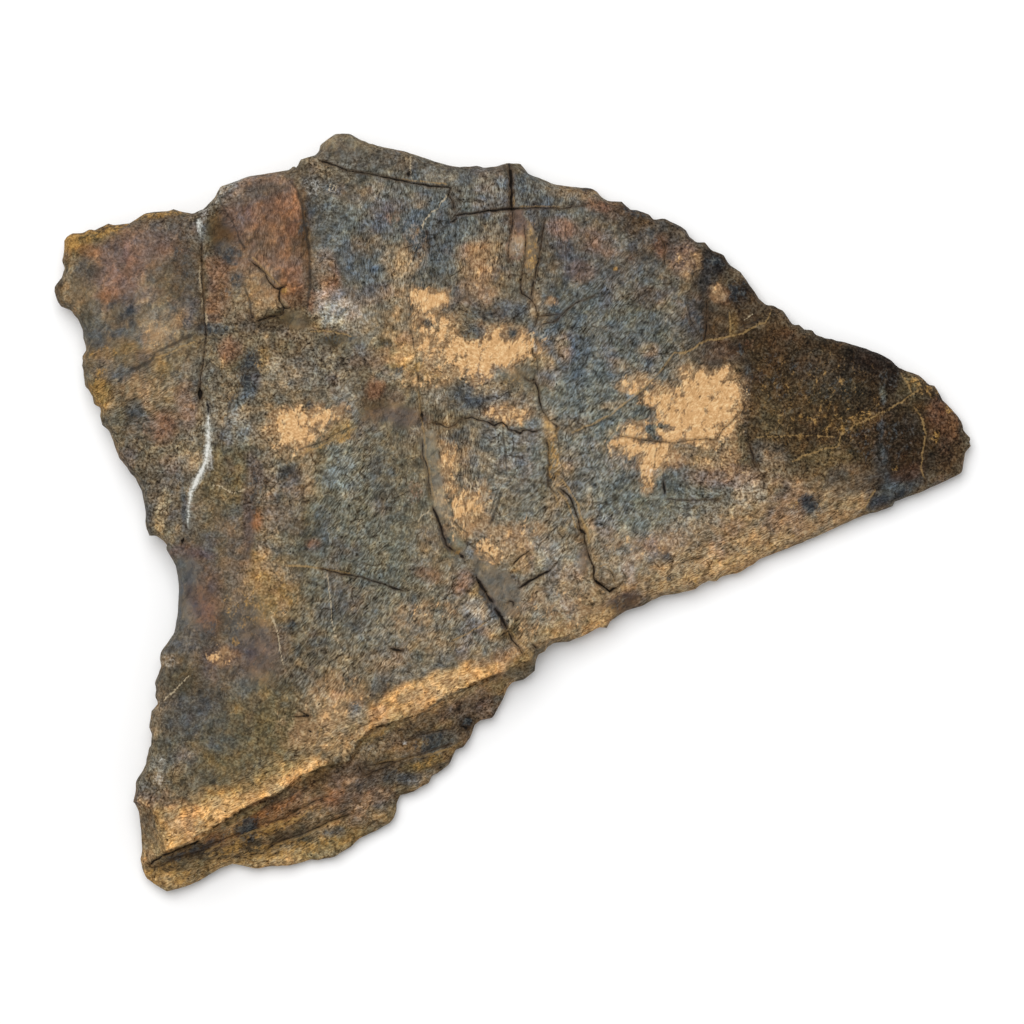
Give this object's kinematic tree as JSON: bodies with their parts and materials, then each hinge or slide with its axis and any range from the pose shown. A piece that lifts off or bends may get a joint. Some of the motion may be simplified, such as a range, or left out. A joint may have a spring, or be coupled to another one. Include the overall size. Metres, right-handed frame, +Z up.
{
  "type": "fossil triceratops frill",
  "caption": "Broken, flat plate of fossil frill bone with cracks, stained patches and a layered broken side, lying on its back face.",
  "frame": {"origin": "under the middle of the piece's box, on the surface that it lies on", "axes": "+X along the length, from the broad, lobed end to the narrow tip; +Y across it, away from the layered broken side; +Z up, out of the front of the bone"},
  "size_m": [0.598, 0.4946, 0.0427],
  "materials": {
    "fossil_bone": "matt mineral-stained stone, brown, slate and tan"
  },
  "bodies": {
    "root": {"frill": "fossil_bone"}
  },
  "joints": []
}
